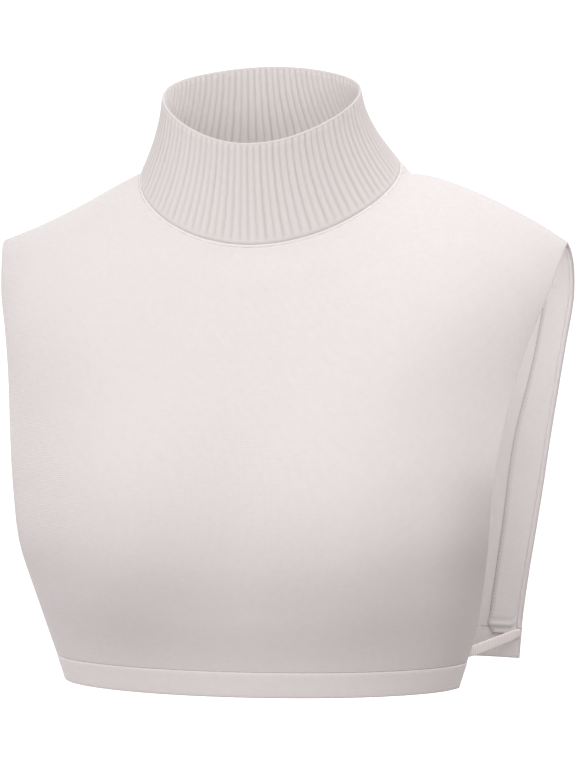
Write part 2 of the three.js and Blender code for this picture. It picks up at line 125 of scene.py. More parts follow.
# fall, down, width, out
FRONT_EDGE = np.array([
    (0, 0, 1, 0),
    (0.025, 0.007, 0.996, 0.045),
    (0.05, 0.023, 0.99, 0.085),
    (0.1, 0.06, 0.975, 0.157),
    (0.17, 0.116, 0.953, 0.251),
    (0.28, 0.208, 0.905, 0.39),
    (0.39, 0.317, 0.864, 0.503),
    (0.5, 0.435, 0.832, 0.592),
    (0.6, 0.55, 0.81, 0.655),
    (0.7, 0.667, 0.794, 0.678),
    (0.8, 0.779, 0.766, 0.625),
    (0.9, 0.888, 0.73, 0.555),
    (1, 1, 0.674, 0.51),
])
BACK_EDGE = np.array([
    (0, 0, 1, 0),
    (0.03, 0.008, 1.001, 0.114),
    (0.055, 0.023, 1.007, 0.183),
    (0.1, 0.062, 1.013, 0.28),
    (0.17, 0.134, 1.009, 0.373),
    (0.28, 0.247, 0.979, 0.441),
    (0.39, 0.362, 0.95, 0.484),
    (0.5, 0.477, 0.922, 0.519),
    (0.6, 0.581, 0.899, 0.55),
    (0.7, 0.686, 0.874, 0.577),
    (0.8, 0.791, 0.848, 0.602),
    (0.9, 0.895, 0.826, 0.622),
    (1, 1, 0.812, 0.632),
])
# fall, out
FRONT_MIDDLE = np.array([
    (0, NECK_FRONT / FRONT_DEPTH), (0.1, 0.73), (0.25, 0.85), (0.42, 0.95), (0.57, 0.99),
    (0.7, 0.97), (0.82, 0.89), (0.92, 0.8), (1, 0.745),
])
BACK_MIDDLE = np.array([
    (0, NECK_BACK / BACK_DEPTH), (0.08, 0.7), (0.2, 0.87), (0.35, 0.975), (0.5, 1),
    (0.65, 0.98), (0.8, 0.94), (1, 0.91),
])
FRONT = dict(
    towards=-1, length=PANEL_LENGTH, depth=-FRONT_DEPTH, wrap=math.radians(74), hem=16.5,
    edge=FRONT_EDGE, middle=FRONT_MIDDLE, shoulder=(0.3, 1), fullness=BUST_FULLNESS,
    low_fullness=LOW_FULLNESS, curl=12, flare=8, arm_shade=1, kick=0.6,
)
BACK = dict(
    towards=1, length=PANEL_LENGTH, depth=BACK_DEPTH, wrap=math.radians(52), hem=20,
    edge=BACK_EDGE, middle=BACK_MIDDLE, shoulder=(0.1, 0.5), fullness=0,
    low_fullness=0, curl=0, flare=0, arm_shade=0, kick=0,
)

# %% Small helpers for curves and blends
def smoothstep(value, low, high):
    """3t^2 - 2t^3, where t is the place of value between low and high, kept from 0 to 1."""
    t = np.clip((value - low) / (high - low), 0, 1)
    return t * t * (3 - 2 * t)


def bell(value, middle, reach):
    """exp(-d^2), where d is the distance from the middle, as a share of the reach."""
    return np.exp(-(((value - middle) / reach) ** 2))


def follow(table, column, at):
    """A cubic through a table's rows, which takes each row's slope from its two neighbours."""
    keys, values = table[:, 0], table[:, column]
    number = np.arange(len(keys))
    low, high = np.maximum(number - 1, 0), np.minimum(number + 1, len(keys) - 1)
    slope = (values[high] - values[low]) / (keys[high] - keys[low])
    row = np.clip(np.searchsorted(keys, at) - 1, 0, len(keys) - 2)
    span = keys[row + 1] - keys[row]
    s = np.clip((at - keys[row]) / span, 0, 1)
    return (
        (2 * s**3 - 3 * s**2 + 1) * values[row]
        + (s**3 - 2 * s**2 + s) * span * slope[row]
        + (3 * s**2 - 2 * s**3) * values[row + 1]
        + (s**3 - s**2) * span * slope[row + 1]
    )


def unit(vectors):
    """Each vector divided by its own length."""
    return vectors / np.linalg.norm(vectors, axis=-1, keepdims=True)


def square_to(vectors, ways):
    """Unit vectors along what is left of some vectors without their parts along unit ways."""
    return unit(vectors - ways * (vectors * ways).sum(-1, keepdims=True))


def run_length(points, axis=0):
    """How far each point is from the first one, along the line of points."""
    steps = np.linalg.norm(np.diff(points, axis=axis), axis=-1)
    return np.concatenate([0 * np.take(steps, [0], axis), np.cumsum(steps, axis)], axis)


# %% Put a grid of points into a mesh
def grid_corners(rows, columns, around=True, along=False):
    """The rows and the columns of the four corners of each cell, in a grid that may close."""
    row = np.arange(rows if along else rows - 1)[:, None, None]
    column = np.arange(columns if around else columns - 1)[None, :, None]
    corner_row = row + np.array([0, 0, 1, 1]) + 0 * column
    corner_column = column + np.array([0, 1, 1, 0]) + 0 * row
    return corner_row.reshape(-1, 4), corner_column.reshape(-1, 4)


def new_piece(name, vertices, faces, uv=None):
    """A smooth mesh in the scene, from vertices in metres and lists of their numbers."""
    mesh = bpy.data.meshes.new(name)
    mesh.from_pydata(vertices.tolist(), [], faces)
    if uv is not None:
        mesh.uv_layers.new(name="cloth").data.foreach_set("uv", uv.ravel())
    mesh.polygons.foreach_set("use_smooth", np.ones(len(faces), bool))
    print(name, len(faces), "faces")
    return put(name, mesh)


def cloth_mesh(name, points, uv, along=False, extra=(), shade=None):
    """Quads over points[row, column], in millimetres, whose last column joins the first.

    along joins the last row to the first too. uv has one more column, and row, than points where
    they join. extra holds more faces, as lists of (row, column) pairs. The faces are turned round
    if the volume they enclose, a sum of a . (b x c), comes out negative. shade is painted shade,
    from 0 to 1, which darkens each point's colour by how deep in a fold it lies. It becomes an
    attribute.
    """
    rows, columns = points.shape[:2]
    row, column = grid_corners(rows, columns, along=along)
    quads = (row % rows) * columns + column % columns
    vertices = points.reshape(-1, 3) / 1000
    a, b, c, d = (vertices[quads[:, k]] for k in range(4))
    volume = np.einsum("ij,ij", a, np.cross(b, c)) + np.einsum("ij,ij", a, np.cross(c, d))
    order = slice(None, None, -1) if volume < 0 else slice(None)
    faces = quads[:, order].tolist()
    face_uv = [uv[row, column][:, order].reshape(-1, 2)]
    for face in extra:
        faces.append([r * columns + c for r, c in face[order]])
        face_uv.append(np.array([uv[r, c] for r, c in face[order]]))
    piece = new_piece(name, vertices, faces, np.concatenate(face_uv))
    # painted shade, kept as a point attribute that the materials read
    if shade is not None:
        depth = np.broadcast_to(shade, points.shape[:2]).astype(np.float32).ravel()
        piece.data.attributes.new("shade", "FLOAT", "POINT").data.foreach_set("value", depth)
    piece.data.update()
    return piece


# %% [markdown]
# ## The neck seam and the shoulder seams
#
# Knitwear is joined stitch by stitch, which leaves a seam that stands up as a fine cord. The seam
# round the neck is one ring that dips at the throat and climbs at the nape. From its two sides the
# shoulder seams run out and back. All other pieces start from these lines, so they come first.

# %% Write the seams as curves
def neck_seam(angle):
    """An ellipse, deeper in front. Angle 0 is the throat, a quarter turn the left side."""
    c = np.cos(angle)
    return np.stack([
        NECK_HALF_WIDTH * np.sin(angle),
        (-(NECK_FRONT + NECK_BACK) * c + (NECK_BACK - NECK_FRONT) * c * c) / 2,
        (-(THROAT_DROP + NAPE_RISE) * c + (NAPE_RISE - THROAT_DROP) * c * c) / 2,
    ], -1)


def shoulder_seam(along, side):
    """From the neck side, along 0, to the tip, along 1; the wearer's left has the fuller line."""
    drop = np.where(side > 0, follow(SHOULDER_SEAM, 3, along), follow(SHOULDER_SEAM, 2, along))
    return np.stack([
        side * (NECK_HALF_WIDTH + (SHOULDER_HALF_WIDTH - NECK_HALF_WIDTH) * along),
        SHOULDER_SET_BACK * follow(SHOULDER_SEAM, 1, along),
        -SHOULDER_DROP * drop,
    ], -1)


def top_line(panel, across):
    """Where a panel begins: its inner half on the neck seam, the rest on the shoulder seams."""
    out, side = np.abs(across), np.where(across < 0, -1, 1)
    quarter = np.minimum(out / NECK_SHARE, 1) * math.pi / 2
    neck = neck_seam(side * quarter if panel["towards"] < 0 else math.pi - side * quarter)
    shoulder = shoulder_seam(np.maximum(out - NECK_SHARE, 0) / (1 - NECK_SHARE), side)
    return np.where((out > NECK_SHARE)[..., None], shoulder, neck)


def soft_top_line(panel, across, fall):
    """The top line as the cloth below follows it: averaged over a reach that grows with fall."""
    reach = np.minimum(SOFT_REACH * np.minimum(fall / SOFTEN, 1), 1 - np.abs(across))
    total = 0
    for offset in np.arange(-7, 8) / 8:
        weight = (1 + math.cos(offset * math.pi)) / 16
        total = total + weight * top_line(panel, across + offset * reach)
    return total


# %% [markdown]
# ## The panels
#
# Worn jersey lies on the body without a wrinkle, so a panel is the body's own shape, pulled to
# the line of the seams at its top. Across, the body is an arc that turns round the side. Down, its
# edge and its middle follow their tables. A wide bump on each side fills out the bust, with a low
# one under it. The front's free edges stand off a little beside the bust, and curl in below it.

# %% Write a panel as a surface
FREE_EDGE, CURL_AT, CURL_REACH, FLARE_AT, FLARE_REACH = 0.66, 0.86, 0.15, 0.52, 0.13


def body_at(panel, across, fall):
    """An arc, x = w sin t / sin wrap, between the panel's edge line and its middle line."""
    turn, wrap = across * panel["wrap"], panel["wrap"]
    crown = (np.cos(turn) - math.cos(wrap)) / (1 - math.cos(wrap))
    width = SHOULDER_HALF_WIDTH * follow(panel["edge"], 2, fall)
    out = follow(panel["edge"], 3, fall)
    edge = SHOULDER_SET_BACK + (panel["depth"] - SHOULDER_SET_BACK) * out
    middle = panel["depth"] * follow(panel["middle"], 1, fall)
    return np.stack([width * np.sin(turn) / math.sin(wrap), edge + (middle - edge) * crown], -1)


def panel_wall(panel, across, fall):
    """The middle of the cloth: the body, pulled to the seams by (1 - fall / settle)^2.5."""
    across, fall = np.broadcast_arrays(across, fall)
    top = soft_top_line(panel, across, fall)
    pulled = (1 - np.minimum(fall / SETTLE, 1)) ** 2.5
    body = body_at(panel, across, fall)
    flat = body + (top[..., :2] - body_at(panel, across, 0 * fall)) * pulled[..., None]
    over = smoothstep(np.abs(across), *panel["shoulder"])
    down = fall + (follow(panel["edge"], 1, fall) - fall) * over
    z = top[..., 2] + (-panel["length"] - top[..., 2]) * down
    out = 0
    for fullness, half_spacing, level, spread in (
        (panel["fullness"], BUST_HALF_SPACING, BUST_LEVEL, BUST_SPREAD),
        (panel["low_fullness"], LOW_HALF_SPACING, LOW_LEVEL, LOW_SPREAD),
    ):
        from_middle = (np.abs(flat[..., 0]) - half_spacing) ** 2 + (z + level) ** 2
        out = out + fullness * np.exp(-from_middle / (2 * spread**2))
    near_edge = np.clip((np.abs(across) - FREE_EDGE) / (1 - FREE_EDGE), 0, 1) ** 4
    out = out - panel["curl"] * near_edge * bell(fall, CURL_AT, CURL_REACH)
    out = out + panel["flare"] * near_edge * bell(fall, FLARE_AT, FLARE_REACH)
    return np.stack([flat[..., 0], flat[..., 1] + panel["towards"] * out, z], -1)


def panel_normal(panel, across, fall, step=0.004):
    """Out of the cloth: the cross product of two short steps on the surface."""
    across, fall = np.broadcast_arrays(across, fall)
    sideways = panel_wall(panel, np.minimum(across + step, 1), fall)
    sideways = sideways - panel_wall(panel, np.maximum(across - step, -1), fall)
    down = panel_wall(panel, across, np.minimum(fall + step, 1))
    down = down - panel_wall(panel, across, np.maximum(fall - step, 0))
    return unit(np.cross(sideways, down) * panel["towards"])


# %% Find where a panel starts and where its hem is
CORD_RADIUS = 0.92 * SEAM_RADIUS
CORD_CLEAR = CORD_RADIUS * 1.05 + 0.03
SEAM_RING = neck_seam(np.linspace(0, math.tau, 721))


def start_of(panel, across):
    """The fall that clears the cord, or half the gap at the shoulder, found on a fine ladder."""
    ladder = np.linspace(0, 0.03, 121)
    points = panel_wall(panel, across[:, None], ladder[None, :])
    apart = np.linalg.norm(points[:, :, None] - SEAM_RING[None, None, ::2], axis=-1).min(-1)
    first = ladder[np.argmax(apart >= CORD_CLEAR, axis=1)]
    slope = np.linalg.norm(points[:, 4] - points[:, 0], axis=-1) / ladder[4]
    return np.where(np.abs(across) > NECK_SHARE, GAP / 2 / slope, first)


def fall_above(panel, across, height):
    """The fall where the cloth is a given height above its hem, by halving."""
    low, high = np.full(np.shape(across), 0.5), np.ones(np.shape(across))
    for _ in range(30):
        middle = (low + high) / 2
        above = panel_wall(panel, across, middle)[..., 2] > height - panel["length"]
        low, high = np.where(above, middle, low), np.where(above, high, middle)
    return low


def share_across(panel, side, fall, width):
    """How far in from the armhole edge a width of cloth reaches, as a share of across."""
    edge, inside = panel_wall(panel, side, fall), panel_wall(panel, side * 0.9, fall)
    return width * 0.1 / np.linalg.norm(edge - inside, axis=-1)


def cloth_uv(panel, across, fall):
    """Where a point lies on the flat cloth, in metres: the wales run straight down from the arc."""
    wall = panel_wall(panel, across, fall)
    width = SHOULDER_HALF_WIDTH * follow(panel["edge"], 2, fall)
    sine = np.clip(wall[..., 0] * math.sin(panel["wrap"]) / width, -1, 1)
    u = np.arcsin(sine) * width / math.sin(panel["wrap"])
    return np.stack([u, -wall[..., 2] + 0 * u], -1) / 1000


for label, panel in (("front", FRONT), ("back", BACK)):
    middle_line = panel_wall(panel, 0.0, np.linspace(0, 1, 200))
    print(label, "middle line", round(run_length(middle_line)[-1]), "mm")

# %% [markdown]
# The armhole edge is turned in and stitched down: a soft roll with a second layer behind it. So a
# row of a panel is one closed loop: over the outside, round the roll, back along the turned-in
# lip, and along the inside to the other edge. The facing begins where the lip ends.

# %% Build the two panels
ROLL, LIP = (PANEL_WALL + GAP + FACING_WALL) / 2, 3
ROLL_TURNS = np.linspace(0, math.pi, 8)[1:-1]
BESIDE_NECK, BESIDE_EDGE = 1.4, np.array([24, 20, 15, 11, 8, 6, 4.5, LIP + 0.15, ROLL])
NORMAL_BLEND, LOW_SHADE, BUST_SHADE, ARM_SHADE = 0.02, 0.12, 0.1, 0.065


def inner_dark(fall):
    """Painted shade on the inner face: lower down, the wearer's body keeps more light from it."""
    return LOW_SHADE * smoothstep(fall, 0.6, 0.95)


def outer_dark(panel, across, z):
    """Painted shade on the outer face, beside and below the bust, in the left arm's shade."""
    dark = BUST_SHADE * bell(z, -208, 33) + ARM_SHADE * smoothstep(-z, 165, 200)
    return panel["arm_shade"] * dark * smoothstep(across, 0.62, 0.9)


def cloth_normal(panel, across, fall):
    """The panel's own normal, turned towards the one both panels share at the shoulder seam."""
    own = panel_normal(panel, across, fall)
    shared = unit(panel_normal(FRONT, across, 0 * fall) + panel_normal(BACK, across, 0 * fall))
    near = (1 - smoothstep(fall, 0, NORMAL_BLEND)) * (np.abs(across) > NECK_SHARE)
    return unit(own + (shared - own) * near[..., None])


def panel_columns(panel, fall, neck=100, shoulder=44):
    """Across for each column at one fall, with columns at set distances from the armhole edges."""
    beside = NECK_SHARE + (1 - NECK_SHARE) * BESIDE_NECK / (SHOULDER_HALF_WIDTH - NECK_HALF_WIDTH)
    per_mm = share_across(panel, 1.0, np.atleast_1d(fall), 1.0)[0]
    in_facing = 1 - per_mm * BESIDE_EDGE
    side = np.concatenate([np.linspace(beside, in_facing[0], shoulder), in_facing[1:]])
    return np.concatenate([-side[::-1], np.linspace(-NECK_SHARE, NECK_SHARE, neck + 1), side])


def panel_piece(panel, rows=150):
    """One loop for each row: outside, roll, lip and inside. The half wall rounds off at the top."""
    share = np.linspace(0, 1, rows - 3)
    share = np.concatenate([[0, 0.0008, 0.002], share[1:-1], [0.9985, 1]])
    across = np.stack([panel_columns(panel, s) for s in share])
    start, end = start_of(panel, across[0]), fall_above(panel, across[-1], panel["hem"] - 0.2)
    fall = start + (end - start) * share[:, None]
    wall, out = panel_wall(panel, across, fall), cloth_normal(panel, across, fall)
    half = np.full((len(share), 1, 1), PANEL_WALL / 2)
    half[:3, 0, 0] *= (0.6, 0.85, 0.97)
    uv = cloth_uv(panel, across, fall)

    def roll(side):
        """The half circle round the edge, then the lip, from the outside to the inside."""
        last = -1 if side > 0 else 0
        normal = out[:, last]
        centre = wall[:, last] + normal * (PANEL_WALL / 2 - ROLL)
        edge = square_to(panel_wall(panel, side * 1.0, fall[:, last]) - wall[:, last], normal)
        turned = [centre + ROLL * (math.cos(t) * normal + math.sin(t) * edge) for t in ROLL_TURNS]
        lip = [centre - ROLL * normal, centre - ROLL * normal - edge * (LIP - ROLL)]
        step = lip[1] - edge * 0.1 + normal * 0.4
        points = np.stack([*turned, *lip, step], 1)
        along = np.array([*(ROLL * np.sin(ROLL_TURNS)), 0, ROLL - LIP, ROLL - LIP])
        roll_uv = uv[:, [last]] + np.stack([side * along, 0 * along], -1)[None] / 1000
        return points, roll_uv

    outer, inner = wall + out * half, wall - out * half
    right_roll, right_uv = roll(1)
    left_roll, left_uv = roll(-1)
    inside = inner[:, 1:-1][:, ::-1]
    points = np.concatenate([outer, right_roll, inside, left_roll[:, ::-1]], 1)
    loop_uv = np.concatenate([uv, right_uv, uv[:, 1:-1][:, ::-1], left_uv[:, ::-1]], 1)
    loop_uv = np.concatenate([loop_uv, loop_uv[:, :1]], 1)
    # painted shade: the inner face darker lower down, the front's outer face darker by the bust
    dark = inner_dark(fall[:, :1]) * np.ones(points.shape[1])
    dark[:, : across.shape[1]] = outer_dark(panel, across, wall[..., 2])
    return points, loop_uv, dark, across.shape[1], right_roll.shape[1]


def end_faces(row, count, rolled):
    """Faces that close a loop's end: quads from outside to inside, and one for each roll."""
    total = 2 * count - 2 + 2 * rolled
    inner = total - rolled
    faces = [[k, k + 1, inner - k - 1, inner - k] for k in range(1, count - 2)]
    faces.append([*range(count - 2, count + rolled + 1)])
    faces.append([*range(inner - 1, total), 0, 1])
    turn = -1 if row == 0 else 1
    return [[(row, k) for k in face[::turn]] for face in faces]


panels = {}
for name, panel in (("front_panel", FRONT), ("back_panel", BACK)):
    points, uv, dark, count, rolled = panel_piece(panel)
    ends = end_faces(0, count, rolled) + end_faces(len(points) - 1, count, rolled)
    panels[name] = cloth_mesh(name + "_cloth", points, uv, extra=ends, shade=dark)
    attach(panels[name], "root")
    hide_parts(name)

# %% [markdown]
# ## The hem bands
#
# Each hem is the cloth folded double, so it is thicker than the panel and its bottom edge is a
# fold. The band is the same surface a little further down, and its stiff fold kicks out slightly
# in front. Close to its edges the half wall follows a quarter of an ellipse, so they are soft.

# %% Build the two hem bands
def rounded(distance, radius):
    """sqrt(1 - (1 - d / r)^2): the share of the half wall at distance d from a rounded edge."""
    return np.sqrt(np.clip(1 - (1 - np.minimum(distance / radius, 1)) ** 2, 0.02, 1))


def band_piece(panel, across, fall, outside, inside, radius, top_radius):
    """A strip of cloth between two heights over the middle of the wall, with rounded edges.

    outside and inside are arrays like fall, as stitches may pull the strip in.
    """
    wall, out = panel_wall(panel, across, fall), cloth_normal(panel, across, fall)
    uv = cloth_uv(panel, across, fall)
    from_top, from_left = run_length(wall), run_length(wall, 1)
    from_bottom, from_right = from_top[-1] - from_top, from_left[:, -1:] - from_left
    share = rounded(np.minimum(np.minimum(from_left, from_right), from_bottom), radius)
    share = np.minimum(share, rounded(from_top, top_radius))
    middle, half = (outside + inside) / 2, (outside - inside) / 2
    outer = wall + out * (middle + half * share)[..., None]
    inner = wall + out * (middle - half * share)[..., None]
    points = np.concatenate([outer, inner[:, ::-1]], 1)
    loop_uv = np.concatenate([uv, uv[:, ::-1], uv[:, :1]], 1)
    count, last = wall.shape[1], len(wall) - 1
    pairs = [(k, k + 1, 2 * count - 2 - k, 2 * count - 1 - k) for k in range(count - 1)]
    ends = [[(0, k) for k in pair[:1] + pair[:0:-1]] for pair in pairs]
    ends += [[(last, k) for k in pair] for pair in pairs]
    return points, loop_uv, ends


def eased_ends(count, near, total):
    """Places from 0 to 1, with extra ones close to both ends for the rounded edges."""
    edge = np.array([0, 0.06, 0.2, 0.45, 1]) * near / total
    return np.concatenate([edge, np.linspace(edge[-1], 1 - edge[-1], count)[1:-1], 1 - edge[::-1]])


HEM_OUT, HEM_RADIUS, HEM_TOP_RADIUS = 0.9, HEM_WALL / 2, 1.2
HEM_SHADE, HEM_SHADE_REACH, HEM_HEIGHTS_ACROSS = 0.3, 2.2, 16
hems = {}
for name, panel in (("front_hem", FRONT), ("back_hem", BACK)):
    spread = eased_ends(150, HEM_RADIUS, panel["hem"] * HEM_HEIGHTS_ACROSS) * 2 - 1
    share = eased_ends(12, HEM_RADIUS, panel["hem"])[:, None]
    start = fall_above(panel, spread, panel["hem"] - GAP)
    fall = start + (1 - start) * share
    across = np.broadcast_to(spread, fall.shape)
    kick = panel["kick"] * share + 0 * fall
    outside, inside = HEM_OUT + kick, kick - HEM_WALL / 2
    points, loop_uv, ends = band_piece(
        panel, across, fall, outside, inside, HEM_RADIUS, HEM_TOP_RADIUS
    )
    # painted shadow along the top of the inner face, under the cloth above it, and painted shade
    # lower down as on the panels' inner faces
    inner_shade = HEM_SHADE * np.exp(-share * panel["hem"] / HEM_SHADE_REACH) + 0 * across
    inner_shade = np.maximum(inner_shade, LOW_SHADE)
    shade = np.concatenate([0 * across, inner_shade], 1)
    hems[name] = cloth_mesh(name + "_band", points, loop_uv, extra=ends, shade=shade)
    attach(hems[name], "root")
    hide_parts(name)

# %% [markdown]
# ## The facings
#
# The turned-in cloth of each armhole lies flat against the inside of its panel. A blind stitch
# holds its inner edge down every few millimetres and dents it, so the line looks dotted. Each
# dent is a dip in the strip's inner face, and each stitch a short slanted thread that lies in it.
# In the back the strip laps over the sewn end of the strap and puckers there in two level folds.
# Painted shade darkens a line along the strip's inner edge, a little more at each stitch, and
# also its end and the troughs of the folds.

# %% Build the four facings
STITCH_PITCH, STITCH_DENT, DENT_REACH, LAST_STITCHES = 2.6, 0.4, 0.8, 4
FOLD_PITCH, FOLD_HEIGHT, FOLD_PLACE, FOLD_SLANT = 6, 0.9, 7.4, 0.06
EDGE_SHADE, END_SHADE, FOLD_SHADE, SHADE_REACH = 0.55, 0.4, 0.3, 0.9
OVER_TAPE, TONGUE = HEM_WALL / 2 + GAP + STRAP_WALL + 0.15 - PANEL_WALL / 2 - GAP / 2, 4.2
LIP_GAP, STRIP_RADIUS = 0.2, 0.6
facings, stitch_lines = {}, {}


def facing_width(share):
    """The strip is widest where the armhole curves in most, and its lower corner is rounded."""
    return FACING_WIDTH - 2.5 + 4.5 * bell(share, 0.57, 0.17) - 3.5 * smoothstep(share, 0.975, 1)


for label, panel, laps_over in (("front", FRONT, 0), ("back", BACK, 1)):
    for word, side in (("left", 1), ("right", -1)):
        name = f"{label}_facing_{word}"
        share = np.linspace(0, 1, 721)[:, None]
        per_mm = share_across(panel, side * 1.0, share, 1.0)
        width = facing_width(share) - LIP - LIP_GAP
        inwards = LIP + LIP_GAP + width * eased_ends(7, 0.9, FACING_WIDTH - LIP)[None, :]
        across = side * (1 - per_mm * inwards)
        start = start_of(panel, across[0]) + 0.002
        tongue = TONGUE * laps_over * smoothstep(inwards[-1], 2, 5)
        end = fall_above(panel, across[-1], panel["hem"] - tongue)
        fall = start + (end - start) * share
        length = panel["length"] - panel["hem"]
        at_stitch = 0.5 + 0.5 * np.cos(share * length / STITCH_PITCH * math.tau)
        from_edge = facing_width(share) - inwards
        dent = STITCH_DENT * at_stitch**2 * bell(from_edge, 0, DENT_REACH)
        above = (1 - share) * length
        lap = laps_over * smoothstep(inwards, LIP, LIP + 3.5)
        fold = (above - FOLD_PLACE + FOLD_SLANT * (inwards - 10)) / FOLD_PITCH
        ridge = 0.5 + 0.5 * np.cos(fold * math.tau)
        puckered = lap * bell(above, 6, 5)
        lift = OVER_TAPE * lap * (1 - smoothstep(above, 4.5, 12))
        outside = -PANEL_WALL / 2 - GAP / 2 - lift - FOLD_HEIGHT * puckered * ridge
        inside = outside - GAP / 2 - FACING_WALL + dent
        points, loop_uv, ends = band_piece(
            panel, across, fall, outside, inside, STRIP_RADIUS, STRIP_RADIUS
        )
        # painted shade: a dark line along the inner edge, at the strip's end and in the folds'
        # troughs
        painted_crease_shade = EDGE_SHADE * bell(from_edge, 0, SHADE_REACH) * (0.8 + 0.2 * at_stitch)
        painted_crease_shade = np.maximum(painted_crease_shade, END_SHADE * bell(above, 0, SHADE_REACH))
        painted_crease_shade = np.maximum(painted_crease_shade, FOLD_SHADE * puckered * (1 - ridge)) + inner_dark(fall)
        shade = np.concatenate([painted_crease_shade, painted_crease_shade[:, ::-1]], 1)
        facings[name] = cloth_mesh(name + "_cloth", points, loop_uv, extra=ends, shade=shade)
        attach(facings[name], "root")
        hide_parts(name)
        stitch = np.arange(1, int(length / STITCH_PITCH) - LAST_STITCHES)
        stitch_share = stitch * STITCH_PITCH / length
        stitch_fall = start[-1] + (end[-1] - start[-1]) * stitch_share
        stitch_lines[name] = (panel, side, stitch_fall, facing_width(stitch_share))

# %% Lay the blind stitches
def thread_pieces(name, middles, ways, out, half_length, radius, sides=8):
    """Short round-ended threads: r sin t around a way, half_length and r cos t along it."""
    turns = np.array([0.08, 0.5, 1, math.pi / 2])
    turns = np.concatenate([turns, math.pi - turns[::-1]])
    shift = np.repeat([half_length, -half_length], 4)
    around = np.arange(sides)[:, None] / sides * math.tau
    middles, ways, out = middles[:, None, None], ways[:, None, None], out[:, None, None]
    ring = np.cos(around) * out + np.sin(around) * np.cross(ways, out)
    along = (shift + radius * np.cos(turns))[:, None, None]
    points = middles + ways * along + ring * (radius * np.sin(turns))[:, None, None]

    row, column = grid_corners(len(turns), sides)
    quad = (row * sides + column % sides)[:, [0, 3, 2, 1]]
    size = len(turns) * sides
    each = np.arange(len(points))[:, None] * size
    quads = (quad + each[:, None]).reshape(-1, 4)
    first = np.arange(sides) + each
    last = first[:, ::-1] + size - sides
    corner = np.concatenate([quads.ravel(), first.ravel(), last.ravel()]) % size
    uv = np.stack([(corner // sides) * 0.0003, (corner % sides) * 0.0002], -1)
    faces = quads.tolist() + first.tolist() + last.tolist()
    return new_piece(name, points.reshape(-1, 3) / 1000, faces, uv)


STITCH_IN, STITCH_SLANT, STITCH_DEPTH = 0.15, 0.75, 0.62
STITCH_HALF_LENGTH, THREAD_RADIUS = 0.5, 0.15
stitches = []
for name, (panel, side, fall, width) in stitch_lines.items():
    across = side * (1 - share_across(panel, side * 1.0, fall, 1.0) * (width - STITCH_IN))
    wall, out = panel_wall(panel, across, fall), panel_normal(panel, across, fall)
    middles = wall - out * (PANEL_WALL / 2 + STITCH_DEPTH)
    down = unit(np.gradient(wall, axis=0))
    inwards = unit(np.cross(down, out)) * side * panel["towards"]
    stitches.append(thread_pieces(
        name.replace("facing", "stitches"), middles, unit(down + STITCH_SLANT * inwards), out,
        STITCH_HALF_LENGTH, THREAD_RADIUS,
    ))
    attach(stitches[-1], "root")

# %% [markdown]
# ## The collar
#
# A funnel collar is knitted in rib: broad raised wales with a narrow furrow between them, on both
# faces. The wall is a ring at the seam and a smaller, tilted ring at the rim, joined by a curve
# that spreads late. The furrows fade just above the seam and just below the bound-off rim, which
# is a fine smooth roll. Real furrows in the mesh catch the light from every side.

# %% Build the collar
def collar_rim(angle):
    """A tilted ellipse whose sides are lifted and drawn to a soft point."""
    c = (np.cos(angle) + RIM_POINT * np.cos(3 * angle)) / (1 + RIM_POINT)
    s = (np.sin(angle) - RIM_POINT * np.sin(3 * angle)) / (1 + RIM_POINT)
    return np.stack([
        RIM_HALF_WIDTH * s - RIM_ASIDE,
        -RIM_FORWARD - RIM_HALF_DEPTH * c * math.cos(RIM_TILT),
        RIM_HEIGHT - RIM_HALF_DEPTH * c * math.sin(RIM_TILT) + RIM_SIDE_LIFT * s * s,
    ], -1)


def collar_wall(angle, climb):
    """From seam, climb 0, to rim, climb 1: height goes evenly, width by (1 - climb)^flare."""
    angle, climb = np.broadcast_arrays(angle, climb)
    seam, rim = neck_seam(angle), collar_rim(angle)
    spread = ((1 - climb) ** COLLAR_FLARE)[..., None]
    flat = rim[..., :2] + (seam[..., :2] - rim[..., :2]) * spread
    z = seam[..., 2] + (rim[..., 2] - seam[..., 2]) * climb
    return np.concatenate([flat, z[..., None]], -1)


# %% Rib the wall, and roll its rim
COLLAR_HALF_WALL, FURROW_DEPTH, FURROW_WIDTH, FURROW_SHADE = 1.15, 0.7, 0.18, 0.13
RIM_ROLL, POINTS_PER_RIB, ROLL_ROWS = 0.65, 12, 5


def furrow(phase, height):
    """A bell over the distance to the nearest furrow, which wanders a little up the collar."""
    rib = np.round(phase)
    wander = 0.014 * np.sin(height * 0.4 + rib * 2.1) + 0.03 * np.sin(rib * 5.3)
    even = 1 + 0.16 * np.sin(rib * 3.7)
    return even * bell(phase, rib - wander, FURROW_WIDTH)


phase = np.arange(RIB_COUNT * POINTS_PER_RIB) / POINTS_PER_RIB
angle = phase / RIB_COUNT * math.tau
first_step = np.linalg.norm(collar_wall(angle, 0.02) - collar_wall(angle, 0.01), axis=-1)
first = 0.01 * CORD_CLEAR / first_step
share = np.concatenate([np.linspace(0, 0.9, 31), np.linspace(0.9, 1, 12)[1:]])[:, None]
climb = first + (1 - first) * share
wall = collar_wall(angle, climb)
sideways = collar_wall(angle + 0.01, climb) - collar_wall(angle - 0.01, climb)
upwards = collar_wall(angle, np.minimum(climb + 0.01, 1)) - collar_wall(angle, climb - 0.01)
out = unit(np.cross(sideways, upwards))
height = run_length(wall)
top = height[-1]
ribbed = smoothstep(height, 0.4, 4.5) * (1 - smoothstep(height, top - 1.5, top - 0.6))
rim_half = RIM_ROLL * (1 + 0.09 * np.cos(phase * 3 * math.tau))
half = COLLAR_HALF_WALL * (0.5 + 0.5 * smoothstep(height, 0, 4))
half = half + (rim_half - half) * smoothstep(height, top - 3.2, top - 0.5)
outer_furrow, inner_furrow = ribbed * furrow(phase, height), ribbed * furrow(phase + 0.5, height)
outer = wall + out * (half - FURROW_DEPTH * outer_furrow)[..., None]
inner = wall - out * (half - FURROW_DEPTH * inner_furrow)[..., None]
rim_up = square_to(upwards[-1], out[-1])
